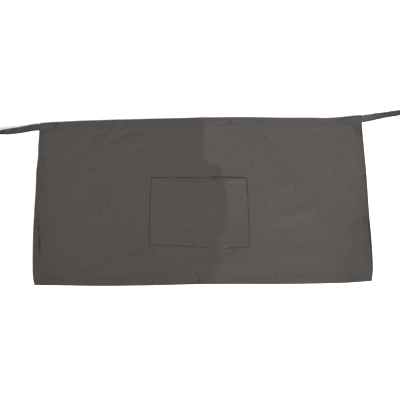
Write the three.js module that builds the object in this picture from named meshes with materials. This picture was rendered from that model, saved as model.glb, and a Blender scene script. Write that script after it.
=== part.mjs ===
// A waist apron of charcoal cloth, laid flat with its front face up.
// Millimetres. +X is the wearer's left in front view, +Y runs up to the waistband, +Z is out of the cloth.
// The origin is the middle of the skirt's back face, which lies on the surface.
import * as THREE from "three";

// The skirt, and how it lies
const waistWidth = 722; // across the skirt, along the waistband
const hemFlare = 38; // how much wider the skirt lies along the bottom hem
const hemWidth = waistWidth + hemFlare;
const drop = 368; // from the waistband's fold to the bottom hem, down the middle
const waistTilt = 1.46; // degrees that the waistband rises to the right
const hemTilt = 0.69; // degrees that the bottom hem rises to the right
const hemShift = 5.2; // how far the bottom hem's middle lies right of the waistband's

// Cloth and seams
const clothWall = 1.2;
const hemFold = 0.8; // extra thickness of the cloth that is turned under at a hem
const sideHem = 11; // width of each side hem
const bottomHem = 17; // height of the bottom hem
const seamSlope = 4; // how far a hem's step runs into the single cloth
const layerGap = 0.3; // between cloths that lie on each other

// The waistband, folded over the top of the skirt
const bandHeight = 18;
const bandWall = 1;
const bandFlat = 0.4; // share of the band's thickness that is flat at its fold
const bandRamp = 12; // how far below the band the skirt comes down to the surface

// The ties, tucked into the waistband's open ends in front of the skirt
const tieWidth = 15;
const tieWall = 1.2;
const tieTuck = 34; // length of tie inside the waistband
const tieEndRoom = 2; // from the tie's inner end to where the front leaf comes down to the skirt
const tieFoldRoom = 0.5; // from the waistband's fold to the tie
const tieFlat = 3; // how far outside the waistband the tie stays flat
const tieDescent = 26; // length over which the tie then comes down to the surface
const leftTieReach = 101; // from the waistband's end to the tie's end
const rightTieReach = 107;

// The patch pocket
const mouthWidth = 215.5;
const baseFlare = 9.5; // how much wider the pocket's base is than its mouth
const pocketDepth = 153;
const pocketWall = 1;
const pocketX = -6; // the pocket's middle
const pocketY = -24;
const mouthTilt = -0.24; // degrees that the mouth rises to the right
const baseTilt = -1.43; // degrees that the base rises to the right
const baseShift = 0.7; // how far the base's middle lies right of the mouth's
const pocketSeam = 5; // width sewn flat to the skirt on three sides
const mouthHem = 12; // height of the hem along the mouth
const mouthFold = 0.8; // extra thickness of that hem, on its inside
const mouthStep = 2; // how far that hem's step runs into the single cloth
const mouthGape = 7.5; // how far the mouth stands open
const mouthShoulder = 70; // from a side seam to where the mouth stands fully open
const pocketBelly = 108; // from the base seam up to where the pocket stands fully open

// Relief of the cloth
const foldRise = 5; // height that the folds' shares are of
const creaseRise = 2.8; // height of the centre crease
const creaseHalf = 42; // from the centre crease to where its flanks end
const creaseRound = 0.15; // share of that half width over which the crease is rounded
const curlRise = 3; // how far a side hem's edge curls up
const curlWidth = 30; // how far from a side edge the curl starts

// Rows of the outlines. "at" is the share along the side and "out" how far it bows outwards there,
// as a share of the drop. Sides run from left to right and from the bottom up.
const waistBow = [
  { at: 0, out: 0 },
  { at: 0.05, out: 0.006 },
  { at: 0.2, out: 0.0095 },
  { at: 0.5, out: 0.0105 },
  { at: 0.63, out: 0.0068 },
  { at: 0.76, out: -0.0035 },
  { at: 0.88, out: -0.0125 },
  { at: 1, out: 0 },
];
const hemBow = [
  { at: 0, out: 0 },
  { at: 0.1, out: 0.004 },
  { at: 0.2, out: 0.0105 },
  { at: 0.34, out: 0.0103 },
  { at: 0.5, out: 0.0068 },
  { at: 0.75, out: 0.012 },
  { at: 0.93, out: 0.0088 },
  { at: 1, out: 0 },
];
const leftBow = [
  { at: 0, out: 0 },
  { at: 0.07, out: 0.0105 },
  { at: 0.3, out: 0.0174 },
  { at: 0.6, out: 0.0125 },
  { at: 0.7, out: 0.014 },
  { at: 0.8, out: 0.0062 },
  { at: 0.86, out: 0.0076 },
  { at: 1, out: 0 },
];
const rightBow = [
  { at: 0, out: 0 },
  { at: 0.08, out: 0.0118 },
  { at: 0.25, out: 0.0133 },
  { at: 0.45, out: 0.0092 },
  { at: 0.75, out: 0.005 },
  { at: 0.87, out: 0.0012 },
  { at: 1, out: 0 },
];
const mouthBow = [
  { at: 0, out: 0 },
  { at: 0.6, out: -0.005 },
  { at: 1, out: 0 },
];
const baseBow = [
  { at: 0, out: 0 },
  { at: 0.38, out: 0.0075 },
  { at: 0.62, out: 0.0158 },
  { at: 0.82, out: 0.009 },
  { at: 1, out: 0 },
];
const pocketSideBow = [
  { at: 0, out: 0 },
  { at: 0.45, out: 0.0032 },
  { at: 1, out: 0 },
];

// The centre crease, from the bottom hem up: "at" and "across" are shares of the drop and of half
// the hem width, and "rise" is a share of creaseRise.
const creaseRows = [
  { at: 0, across: 0.095, rise: 0.5 },
  { at: 0.2, across: 0.115, rise: 0.8 },
  { at: 0.42, across: 0.15, rise: 0.9 },
  { at: 0.6, across: 0.14, rise: 0.9 },
  { at: 0.7, across: 0.11, rise: 0.7 },
  { at: 0.78, across: 0.02, rise: 0.8 },
  { at: 1, across: 0.008, rise: 1 },
];

// The folds. "x" and "y" are the middle, as shares of half the hem width and half the drop, "long" and
// "wide" the half length and half width as shares of the drop, "turn" the degrees from +X to the
// fold's length, and "rise" a share of foldRise.
const folds = [
  { x: -0.58, y: 0.72, long: 0.2, wide: 0.07, turn: 32, rise: 0.75 },
  { x: -0.46, y: 0.62, long: 0.2, wide: 0.06, turn: 20, rise: 0.55 },
  { x: -0.72, y: 0.76, long: 0.13, wide: 0.07, turn: 62, rise: 0.5 },
  { x: -0.6, y: -0.05, long: 0.17, wide: 0.075, turn: 72, rise: 0.55 },
  { x: -0.74, y: -0.5, long: 0.22, wide: 0.08, turn: -38, rise: 0.5 },
  { x: -0.44, y: -0.74, long: 0.28, wide: 0.075, turn: 8, rise: 0.5 },
  { x: 0.52, y: 0.22, long: 0.16, wide: 0.07, turn: 48, rise: 0.5 },
  { x: 0.56, y: -0.16, long: 0.2, wide: 0.065, turn: 14, rise: 0.6 },
  { x: 0.78, y: -0.32, long: 0.2, wide: 0.08, turn: -30, rise: 0.55 },
  { x: 0.6, y: -0.66, long: 0.3, wide: 0.07, turn: -4, rise: 0.5 },
  { x: 0.84, y: 0.44, long: 0.2, wide: 0.07, turn: 80, rise: 0.4 },
];

// How far the side hems' edges curl up, from the bottom up, as shares of curlRise.
const leftCurl = [
  { at: 0, lift: 0.2 },
  { at: 0.12, lift: 0.7 },
  { at: 0.3, lift: 1 },
  { at: 0.46, lift: 0.5 },
  { at: 0.6, lift: 0.8 },
  { at: 0.78, lift: 0.55 },
  { at: 0.9, lift: 0 },
  { at: 1, lift: 0 },
];
const rightCurl = [
  { at: 0, lift: 0.35 },
  { at: 0.2, lift: 0.9 },
  { at: 0.36, lift: 0.7 },
  { at: 0.55, lift: 0.35 },
  { at: 0.75, lift: 0.55 },
  { at: 0.9, lift: 0 },
  { at: 1, lift: 0 },
];

// The free ties, from where they leave the waistband: "at" is the share of the reach, "across" how far
// the tie has swung towards +Y there, as a share of the reach, and "tilt" the degrees that the strip
// is turned about its own line.
const leftTieRows = [
  { at: 0, across: 0, tilt: 0 },
  { at: 0.12, across: -0.01, tilt: 14 },
  { at: 0.45, across: -0.067, tilt: 27 },
  { at: 0.68, across: -0.094, tilt: 38 },
  { at: 0.88, across: -0.112, tilt: 56 },
  { at: 1, across: -0.12, tilt: 66 },
];
const rightTieRows = [
  { at: 0, across: 0, tilt: 0 },
  { at: 0.14, across: 0.024, tilt: -14 },
  { at: 0.3, across: 0.058, tilt: -30 },
  { at: 0.55, across: 0.1, tilt: -38 },
  { at: 0.8, across: 0.142, tilt: -42 },
  { at: 1, across: 0.172, tilt: -38 },
];

// Fineness of the faceted surfaces
const hemLine = 0.4; // where a hem's inner grid line lies, as a share of the hem
const skirtCellsAcross = 46;
const skirtCellsDown = 22;
const pocketCellsAcross = 18;
const pocketCellsDown = 12;
const tuckSteps = 3;
const tieSteps = 20;

const clamp01 = (x) => Math.min(1, Math.max(0, x));
const smooth = (x) => clamp01(x) ** 2 * (3 - 2 * clamp01(x));

// The smooth value of one column of a table, through every row.
function tableAt(rows, column, at) {
  const last = rows.length - 1;
  let i = 0;
  while (i < last - 1 && at > rows[i + 1].at) i++;
  const slope = (a, b) => (rows[b][column] - rows[a][column]) / (rows[b].at - rows[a].at);
  const span = rows[i + 1].at - rows[i].at;
  const s = clamp01((at - rows[i].at) / span);
  const leaving = slope(Math.max(i - 1, 0), i + 1) * span;
  const arriving = slope(i, Math.min(i + 2, last)) * span;
  return (
    rows[i][column] * (1 - 3 * s ** 2 + 2 * s ** 3) +
    rows[i + 1][column] * (3 * s ** 2 - 2 * s ** 3) +
    leaving * (s - 2 * s ** 2 + s ** 3) +
    arriving * (s ** 3 - s ** 2)
  );
}

// The two ends of a straight edge of a given width, tilted about its middle.
function edgeEnds(x, y, width, tilt) {
  const half = new THREE.Vector2(width / 2, 0).rotateAround(
    new THREE.Vector2(),
    THREE.MathUtils.degToRad(tilt),
  );
  const middle = new THREE.Vector2(x, y);
  return [middle.clone().sub(half), middle.clone().add(half)];
}

// A four-sided sheet's plan, as a function of the share across and the share up.
function sheetPlan([bottomLeft, bottomRight], [topLeft, topRight], bows, size) {
  const side = (from, to, rows, turn) => (at) => {
    const chord = to.clone().sub(from);
    const out = new THREE.Vector2(chord.y, -chord.x).normalize();
    return chord
      .multiplyScalar(at)
      .add(from)
      .addScaledVector(out, turn * size * tableAt(rows, "out", at));
  };
  const bottom = side(bottomLeft, bottomRight, bows.bottom, 1);
  const top = side(topLeft, topRight, bows.top, -1);
  const left = side(bottomLeft, topLeft, bows.left, -1);
  const right = side(bottomRight, topRight, bows.right, 1);
  return (u, v) => {
    const point = new THREE.Vector2();
    const add = (p, share) => point.addScaledVector(p, share);
    add(bottom(u), 1 - v);
    add(top(u), v);
    add(left(v), 1 - u);
    add(right(v), u);
    add(bottomLeft, -(1 - u) * (1 - v));
    add(bottomRight, -u * (1 - v));
    add(topLeft, -(1 - u) * v);
    add(topRight, -u * v);
    return point;
  };
}

const skirtPlan = sheetPlan(
  edgeEnds(hemShift / 2, -drop / 2, hemWidth, hemTilt),
  edgeEnds(-hemShift / 2, drop / 2, waistWidth, waistTilt),
  { bottom: hemBow, top: waistBow, left: leftBow, right: rightBow },
  drop,
);
const pocketPlan = sheetPlan(
  edgeEnds(pocketX + baseShift, pocketY - pocketDepth / 2, mouthWidth + baseFlare, baseTilt),
  edgeEnds(pocketX, pocketY + pocketDepth / 2, mouthWidth, mouthTilt),
  { bottom: baseBow, top: mouthBow, left: pocketSideBow, right: pocketSideBow },
  drop,
);

// Height of the cloth's back face above the surface, from the crease and the folds alone.
function reliefAt({ x, y }) {
  const up = clamp01(y / drop + 0.5);
  const fromCrease = (x - (tableAt(creaseRows, "across", up) * hemWidth) / 2) / creaseHalf;
  const flank = clamp01((1 - Math.hypot(fromCrease, creaseRound)) / (1 - creaseRound));
  let height = creaseRise * tableAt(creaseRows, "rise", up) * flank ** 2;
  for (const fold of folds) {
    const point = new THREE.Vector2(x, y)
      .sub(new THREE.Vector2((fold.x * hemWidth) / 2, (fold.y * drop) / 2))
      .rotateAround(new THREE.Vector2(), -THREE.MathUtils.degToRad(fold.turn));
    const along = clamp01(1 - (point.x / (fold.long * drop)) ** 2);
    const across = clamp01(1 - (point.y / (fold.wide * drop)) ** 2);
    height += foldRise * fold.rise * along ** 2 * across ** 2;
  }
  return height;
}

// Extra height near the skirt's sides, where the hems curl.
function curlAt(u, v) {
  const near = (share) => clamp01(1 - (share * hemWidth) / curlWidth) ** 2;
  const lift = tableAt(leftCurl, "lift", v) * near(u) + tableAt(rightCurl, "lift", v) * near(1 - u);
  return curlRise * Math.max(0, lift);
}

// A closed solid between two surfaces over a grid. lower and upper give a Vector3 for a share across
// and a share up.
function sheetSolid(across, up, lower, upper) {
  const position = [];
  const index = [];
  const row = across.length;
  const layer = row * up.length;
  for (const surface of [lower, upper]) {
    for (const v of up) for (const u of across) position.push(...surface(u, v).toArray());
  }
  for (let j = 0; j < up.length - 1; j++) {
    for (let i = 0; i < row - 1; i++) {
      const a = j * row + i;
      const [b, c, d] = [a + 1, a + row + 1, a + row];
      index.push(a, c, b, a, d, c);
      index.push(a + layer, b + layer, c + layer, a + layer, c + layer, d + layer);
    }
  }
  const wall = (a, b) => index.push(a, b, b + layer, a, b + layer, a + layer);
  for (let i = 0; i < row - 1; i++) {
    wall(i, i + 1);
    wall(layer - row + i + 1, layer - row + i);
  }
  for (let j = 0; j < up.length - 1; j++) {
    wall((j + 1) * row - 1, (j + 2) * row - 1);
    wall((j + 1) * row, j * row);
  }
  return solid(position, index);
}

// A closed solid through rings of points, counter-clockwise seen from the last ring. ends holds the
// triangles that close a ring, by its points' numbers and in the ring's own sense.
function ringSolid(rings, ends) {
  const position = rings.flat().flatMap((point) => point.toArray());
  const index = [];
  const size = rings[0].length;
  const last = (rings.length - 1) * size;
  for (let k = 0; k < last; k += size) {
    for (let i = 0; i < size; i++) {
      const [a, b] = [k + i, k + ((i + 1) % size)];
      index.push(a, b, b + size, a, b + size, a + size);
    }
  }
  for (const [a, b, c] of ends) index.push(a, c, b, last + a, last + b, last + c);
  return solid(position, index);
}

function solid(position, index) {
  const geometry = new THREE.BufferGeometry();
  geometry.setAttribute("position", new THREE.Float32BufferAttribute(position, 3));
  geometry.setIndex(index);
  geometry.computeVertexNormals();
  return geometry;
}

// Numbers from one value to another, both included.
const steps = (from, to, cells) =>
  Array.from({ length: cells + 1 }, (_, i) => from + ((to - from) * i) / cells);

// Columns shared by the skirt and the waistband: close together at the side hems and the ties' ends,
// even between them.
const endColumns = [0, hemLine * sideHem, sideHem, sideHem + seamSlope, tieTuck + tieEndRoom].map(
  (x) => x / waistWidth,
);
const firstEven = (tieTuck + tieEndRoom + seamSlope) / waistWidth;
const columns = [
  ...endColumns,
  ...steps(firstEven, 1 - firstEven, skirtCellsAcross),
  ...endColumns.map((u) => 1 - u).reverse(),
];

// Rows of the skirt, from the bottom hem up into the waistband.
const bandFoot = 1 - bandHeight / drop;
const skirtTop = 1 - (bandWall + layerGap) / drop;
const skirtRows = [
  ...[0, hemLine * bottomHem, bottomHem].map((y) => y / drop),
  ...steps((bottomHem + seamSlope) / drop, bandFoot - bandRamp / drop, skirtCellsDown),
  bandFoot - layerGap / drop,
  skirtTop,
];

// The relief at a place on the skirt. In the waistband it is the one at the band's foot, because the
// band doesn't bend across its height.
const skirtRelief = (u, v) => reliefAt(skirtPlan(u, Math.min(v, bandFoot)));

// The skirt: one cloth with its side and bottom hems turned under, and its top edge in the waistband.
function skirtGeometry() {
  const lift = (u, v) => {
    const intoBand = smooth((v - bandFoot) / (bandRamp / drop) + 1);
    return skirtRelief(u, v) + curlAt(u, v) + intoBand * (bandWall + layerGap);
  };
  const hemShare = (u, v) => {
    const fromSide = Math.min(u, 1 - u) * waistWidth - sideHem;
    const fromBottom = v * drop - bottomHem;
    return 1 - smooth(Math.min(fromSide, fromBottom) / seamSlope);
  };
  const at = (u, v, z) => {
    const { x, y } = skirtPlan(u, v);
    return new THREE.Vector3(x, y, z);
  };
  return sheetSolid(
    columns,
    skirtRows,
    (u, v) => at(u, v, lift(u, v)),
    (u, v) => at(u, v, lift(u, v) + clothWall + hemFold * hemShare(u, v)),
  );
}

// What a tie rests on inside the waistband: the back leaf and the skirt's side hem.
const tieSeat = bandWall + layerGap + clothWall + hemFold + layerGap;

// The waistband: one strip folded along its top edge, its two leaves on either side of the skirt and,
// at its ends, of the ties.
function bandGeometry() {
  const section = (u) => {
    const pastTie = Math.min(u, 1 - u) * waistWidth - tieTuck - tieEndRoom;
    const single = bandWall + clothWall + 2 * layerGap;
    const frontLeaf = THREE.MathUtils.lerp(tieSeat + tieWall + layerGap, single, smooth(pastTie / seamSlope));
    const thick = frontLeaf + bandWall;
    return [
      [bandHeight, 0],
      [bandWall, 0],
      [0, (thick * (1 - bandFlat)) / 2],
      [0, (thick * (1 + bandFlat)) / 2],
      [bandWall, thick],
      [bandHeight, thick],
      [bandHeight, frontLeaf],
      [bandWall, frontLeaf],
      [bandWall, bandWall],
      [bandHeight, bandWall],
    ];
  };
  const rings = columns.map((u) =>
    section(u).map(([down, z]) => {
      const { x, y } = skirtPlan(u, 1 - down / drop);
      return new THREE.Vector3(x, y, skirtRelief(u, bandFoot) + z);
    }),
  );
  const corners = section(0).map(([down, z]) => new THREE.Vector2(down, z));
  const ends = THREE.ShapeUtils.triangulateShape(corners, []).map(([a, b, c]) => [a, c, b]);
  return ringSolid(rings, ends);
}

// A tie: a flat strip that leaves the waistband's end, comes down to the surface and turns on its edge.
function tieGeometry(side, reach, rows) {
  const fromFold = bandWall + tieFoldRoom + tieWidth / 2;
  const inBand = (fromEnd) => {
    const u = fromEnd / waistWidth;
    return skirtPlan(side < 0 ? u : 1 - u, 1 - fromFold / drop);
  };
  const start = inBand(-tieFlat);
  const free = reach - tieFlat;
  const stations = [
    ...steps(tieTuck, 0, tuckSteps).map((fromEnd) => ({ plan: inBand(fromEnd), tilt: 0, drop: 0 })),
    ...steps(0, 1, tieSteps).map((at) => ({
      plan: new THREE.Vector2(side * at, tableAt(rows, "across", at)).multiplyScalar(free).add(start),
      tilt: THREE.MathUtils.degToRad(tableAt(rows, "tilt", at)),
      drop: smooth((at * free) / tieDescent),
    })),
  ];
  const rings = stations.map(({ plan, tilt, drop: down }, k) => {
    const before = stations[Math.max(k - 1, 0)].plan;
    const after = stations[Math.min(k + 1, stations.length - 1)].plan;
    const forward = after.clone().sub(before).normalize().multiplyScalar(side);
    const flat = new THREE.Vector3(-forward.y, forward.x, 0);
    const wide = flat.clone().multiplyScalar(Math.cos(tilt)).setZ(Math.sin(tilt));
    const thick = flat.clone().multiplyScalar(-Math.sin(tilt)).setZ(Math.cos(tilt));
    const onEdge = (tieWidth * Math.abs(Math.sin(tilt)) + tieWall * Math.cos(tilt)) / 2;
    const middle = new THREE.Vector3(plan.x, plan.y, onEdge + tieSeat * (1 - down));
    const corner = (w, t) =>
      middle
        .clone()
        .addScaledVector(wide, (w * tieWidth) / 2)
        .addScaledVector(thick, (t * tieWall) / 2);
    const ring = [corner(-1, -1), corner(1, -1), corner(1, 1), corner(-1, 1)];
    return side < 0 ? ring.reverse() : ring;
  });
  const ends = [
    [0, 1, 2],
    [0, 2, 3],
  ];
  return ringSolid(rings, ends);
}

// Columns and rows of the pocket: close together at its seams and its mouth, even between them.
const seamShare = pocketSeam / mouthWidth;
const pocketAcross = [0, ...steps(seamShare, 1 - seamShare, pocketCellsAcross), 1];
const pocketUp = [
  0,
  ...steps(pocketSeam / pocketDepth, 1 - mouthHem / pocketDepth, pocketCellsDown),
  1 - (mouthHem - mouthStep) / pocketDepth,
  1,
];

// The pocket: one cloth sewn flat on three sides, open at its mouth, with a hem turned in along it.
function pocketGeometry() {
  const slack = (u, v) => {
    const fromSide = smooth(((Math.min(u, 1 - u) - seamShare) * mouthWidth) / mouthShoulder);
    const fromBase = smooth((v * pocketDepth - pocketSeam) / pocketBelly);
    return mouthGape * fromSide * fromBase;
  };
  // The highest cloth within half a cell, so that flat facets over a rounded fold stay clear of it
  const around = [-0.5, 0, 0.5].map((share) => (share * mouthWidth) / pocketCellsAcross);
  const seat = (x, y) => {
    const near = around.flatMap((dx) => around.map((dy) => reliefAt({ x: x + dx, y: y + dy })));
    return Math.max(...near) + clothWall + layerGap;
  };
  const at = (u, v, z) => {
    const { x, y } = pocketPlan(u, v);
    return new THREE.Vector3(x, y, seat(x, y) + z);
  };
  const hem = (v) => mouthFold * smooth(((v - 1) * pocketDepth + mouthHem) / mouthStep);
  return sheetSolid(
    pocketAcross,
    pocketUp,
    (u, v) => at(u, v, Math.max(0, slack(u, v) - hem(v))),
    (u, v) => at(u, v, slack(u, v) + pocketWall),
  );
}

function cloth(name, geometry, color) {
  const material = new THREE.MeshStandardMaterial({ color, roughness: 0.9, metalness: 0 });
  const mesh = new THREE.Mesh(geometry, material);
  mesh.name = name;
  return mesh;
}

const apron = new THREE.Group();
apron.add(
  cloth("skirt", skirtGeometry(), "#58544f"),
  cloth("waistband", bandGeometry(), "#565352"),
  cloth("tie_left", tieGeometry(-1, leftTieReach, leftTieRows), "#504e4c"),
  cloth("tie_right", tieGeometry(1, rightTieReach, rightTieRows), "#5a5754"),
  cloth("pocket", pocketGeometry(), "#58544f"),
);

export default apron;
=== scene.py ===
"""A waist apron of charcoal cloth, laid flat with its front face up.

Lengths are in millimetres, and mesh_of turns them into metres. A place in the plan is a complex number,
x + 1j * y. A sheet of cloth runs over two shares: u from its left edge to its right, v from the bottom up.
"""

import math
from types import SimpleNamespace

import bpy
import numpy as np
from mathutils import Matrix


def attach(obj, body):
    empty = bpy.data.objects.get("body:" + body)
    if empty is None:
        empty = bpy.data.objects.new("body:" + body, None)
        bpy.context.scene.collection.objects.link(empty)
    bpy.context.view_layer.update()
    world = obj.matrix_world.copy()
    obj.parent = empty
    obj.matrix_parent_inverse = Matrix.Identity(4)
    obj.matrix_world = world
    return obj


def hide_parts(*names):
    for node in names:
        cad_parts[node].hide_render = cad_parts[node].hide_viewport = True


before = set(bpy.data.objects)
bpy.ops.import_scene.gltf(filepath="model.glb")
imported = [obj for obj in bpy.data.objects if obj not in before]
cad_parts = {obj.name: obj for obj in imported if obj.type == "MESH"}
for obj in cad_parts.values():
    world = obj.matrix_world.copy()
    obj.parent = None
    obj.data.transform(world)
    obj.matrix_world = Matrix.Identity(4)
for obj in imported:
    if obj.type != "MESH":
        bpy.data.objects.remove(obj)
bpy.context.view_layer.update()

MM = 0.001


def rows(text):
    """A table from text whose first line names the columns. Cells left out at a row's end are 0."""
    names, *lines = [line.split() for line in text.strip().splitlines()]
    cells = [[float(cell) for cell in line] + [0.0] * (len(names) - len(line)) for line in lines]
    return {name: np.array(column) for name, column in zip(names, zip(*cells))}


# The skirt, and how it lies
waist_width = 722  # across the skirt, along the waistband
hem_flare = 38  # how much wider it lies along the bottom hem
hem_width = waist_width + hem_flare
drop = 368  # from the waistband's fold to the bottom hem
waist_tilt = 1.46  # degrees that the waistband rises to the right
hem_tilt = 0.69
hem_shift = 5.2  # how far the bottom hem's middle lies right of the waistband's
corner_round = 3.0  # the bottom corners
hem_settle = 1.0  # how much lower the bottom hem lies than the solid's

# The cloth
cloth_wall = 0.75
hem_wall = 1.45  # where the cloth is turned under
under_step = 0.35  # the part of a hem's step that shows on the back
lap = 0.12  # between cloths that lie on each other
side_hem = 11.0
bottom_hem = 17.0
hem_stitch = 1.6  # from a hem's inner edge to its stitching
side_seam = side_hem - hem_stitch
bottom_seam = bottom_hem - hem_stitch
seam_slope = 7.0  # how far a hem's step runs into the single cloth

# The waistband
band_height = 18.0
band_wall = 0.75
band_ramp = 12.0  # how far below the band the skirt comes down to the floor
band_strip = 36.5  # length round the fold, from the front leaf's foot to the back leaf's
band_stitch = 2.0  # from the band's foot to its stitching
end_stitch = 3.0  # from the band's ends to the stitching across them

# The ties
tie_width = 15.0
tie_wall = 1.1
tie_tuck = 34.0  # length inside the waistband
tie_end_room = 2.0
tie_fold_room = 1.5  # from the waistband's fold to the tie
tie_hem = 9.0  # length of the hem at its free end
tie_fold_step = 0.5  # how much thicker it is there
tie_seams = (2.4, tie_hem - 1.6)  # from the free end to the rows of stitching across its hem
tie_flat = 3.0  # how far outside the waistband the tie stays flat
tie_descent = 26.0  # length over which it then comes down to the floor

# The patch pocket
mouth_width = 215.5
base_flare = 9.5
pocket_depth = 153.0
pocket_middle = -6 - 24j
mouth_tilt = -0.24
base_tilt = -1.43
base_shift = 0.7
pocket_seam = 5.0
pocket_stitch = 2.2  # from the pocket's edge to its stitching
seam_allowance = 9.0  # cloth turned under on three sides
mouth_hem = 12.0
mouth_seam = mouth_hem - 1.5  # from the mouth to its stitching
tack_drop = 4.5  # from the mouth to the middle of the bar-tacks
pocket_slack = 2.8  # how far the pocket stands off the skirt
lip_drop = 0.6  # the share of it that the mouth's edge comes down again
lip_flat = 0.3  # the further share where the mouth's edge is worn flat
mouth_shoulder = 70.0
pocket_belly = 108.0

# Relief of the cloth
fold_rise = 3.8
crease_rise = 2.3
crease_half = 42.0
crease_round = 0.15
curl_rise = 3.0
curl_width = 30.0

# Stitching
stitch_pitch = 2.9
stitch_length = 2.35
thread_radius = 0.19
# A stitch's rings: "at" is the share along it, "round" the share of the thread's radius and "lift" how many
# of those radii it stands out of the cloth
thread_rings = rows("""
  at   round lift
  0    0.45  -0.9
  0.14 0.9   0.15
  0.5  1     0.55
  0.86 0.9   0.15
  1    0.45  -0.9
""")

# The tables name the photograph's pixels by their numbers from 0, so the middle of a pixel lies half a pixel
# further on.
photo_size = 400  # its width and height in pixels
photo_mm = 2.25  # length that one of its pixels shows
photo_origin = (201.86, 201.0)  # where it shows the plan's origin
half_pixel = 0.5


def plan_at(px, py):
    """The place in the plan that a point of the photograph shows."""
    return ((px - photo_origin[0]) + 1j * (photo_origin[1] - py)) * photo_mm


def pixel_at(place):
    """The numbers of the pixel that shows a place in the plan."""
    px = place.real / photo_mm + photo_origin[0] - half_pixel
    return px, photo_origin[1] - place.imag / photo_mm - half_pixel


# How far the outlines bow outwards: "at" is the share along the side, "out" a share of the drop
waist_bow = rows("""
  at   out
  0    0
  0.05 0.0055
  0.2  0.0098
  0.5  0.0095
  0.63 0.0062
  0.76 -0.0042
  0.85 -0.0088
  0.9  -0.0123
  1    0
""")
hem_bow = rows("""
  at   out
  0    0
  0.1  0.0052
  0.2  0.0105
  0.34 0.0106
  0.5  0.007
  0.75 0.0122
  0.92 0.0095
  0.96 0.0048
  1    0
""")
left_bow = rows("""
  at   out
  0    0
  0.07 0.0105
  0.3  0.0166
  0.45 0.0158
  0.6  0.0118
  0.7  0.012
  0.8  0.0052
  0.86 0.0074
  1    0
""")
right_bow = rows("""
  at   out
  0    0
  0.08 0.0124
  0.25 0.0138
  0.38 0.0106
  0.5  0.01
  0.62 0.0098
  0.76 0.0062
  0.87 0.0034
  1    0
""")
mouth_bow = rows("""
  at   out
  0    0
  0.3  0.0005
  0.55 0.0005
  0.74 0.0035
  0.9  0.0035
  1    0.001
""")
base_bow = rows("""
  at   out
  0    0
  0.38 0.0075
  0.62 0.0158
  0.82 0.009
  1    0
""")
pocket_side_bow = rows("""
  at   out
  0    0
  0.45 0.0032
  1    0
""")

# The centre crease from the bottom up: "at" and "across" are shares of the drop and of half the hem width
crease_rows = rows("""
  at   across rise
  0    0.095  0.5
  0.2  0.115  0.8
  0.42 0.15   0.9
  0.6  0.14   0.9
  0.7  0.11   0.7
  0.78 0.02   0.8
  1    0.008  1
""")

# The soft folds: "x" and "y" are shares of half the hem width and half the drop, "long" and "wide" half
# sizes as shares of the drop, "turn" degrees from +X and "rise" a share of fold_rise
fold_rows = rows("""
  x     y     long wide  turn rise
  -0.58 0.72  0.2  0.07  32   0.75
  -0.46 0.68  0.2  0.06  20   0.5
  -0.72 0.76  0.13 0.07  62   0.5
  -0.6  -0.05 0.17 0.075 72   0.55
  -0.74 -0.5  0.22 0.08  -38  0.5
  -0.44 -0.74 0.28 0.075 8    0.5
  0.52  0.22  0.16 0.07  48   0.5
  0.56  -0.16 0.2  0.065 14   0.6
  0.78  -0.32 0.2  0.08  -30  0.55
  0.6   -0.66 0.3  0.07  -4   0.5
  0.84  0.44  0.2  0.07  80   0.4
""")

# How far the side hems' edges curl up, from the bottom up, as shares of curl_rise
left_curl = rows("""
  at   lift
  0    0.2
  0.12 0.7
  0.3  1
  0.46 0.5
  0.6  0.8
  0.78 0.55
  0.9  0
  1    0
""")
right_curl = rows("""
  at   lift
  0    0.35
  0.2  0.9
  0.36 0.7
  0.55 0.35
  0.75 0.55
  0.9  0
  1    0
""")

# The free ties: "side" is -1 at the left, "reach" the free length, "rise" how much nearer the fold's line the
# tie lies where it comes out and "slack" how much wider. "lower" and "upper" are how dark the painted shade
# along its edges is, and "twist" how far its painted shade varies. In "lie", "at" is the share along it,
# "across" the swing towards +Y as a share of the reach and "tilt" the strip's turn in degrees. In "light",
# "at" is the distance along it and "tone" its painted light and shade.
left_tie = SimpleNamespace(
    side=-1,
    reach=101.0,
    rise=0.8,
    slack=0.0,
    lower=0.45,
    upper=0.15,
    twist=0.07,
    lie=rows("""
  at   across tilt
  0    0      0
  0.12 -0.012 8
  0.45 -0.069 20
  0.68 -0.097 33
  0.88 -0.113 53
  1    -0.12  64
"""),
    light=rows("""
  at  tone
  0   0.56
  36  0.46
  60  0.42
  76  0.4
  82  0.05
  101 0.02
"""),
)
right_tie = SimpleNamespace(
    side=1,
    reach=107.0,
    rise=1.2,
    slack=0.6,
    lower=0.2,
    upper=0.2,
    twist=0.11,
    lie=rows("""
  at   across tilt
  0    0      0
  0.14 0.024  -10
  0.3  0.058  -24
  0.55 0.1    -33
  0.8  0.142  -37
  1    0.172  -33
"""),
    light=rows("""
  at  tone
  0   1.02
  20  1.2
  40  1.05
  60  0.82
  107 0.78
"""),
)
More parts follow.
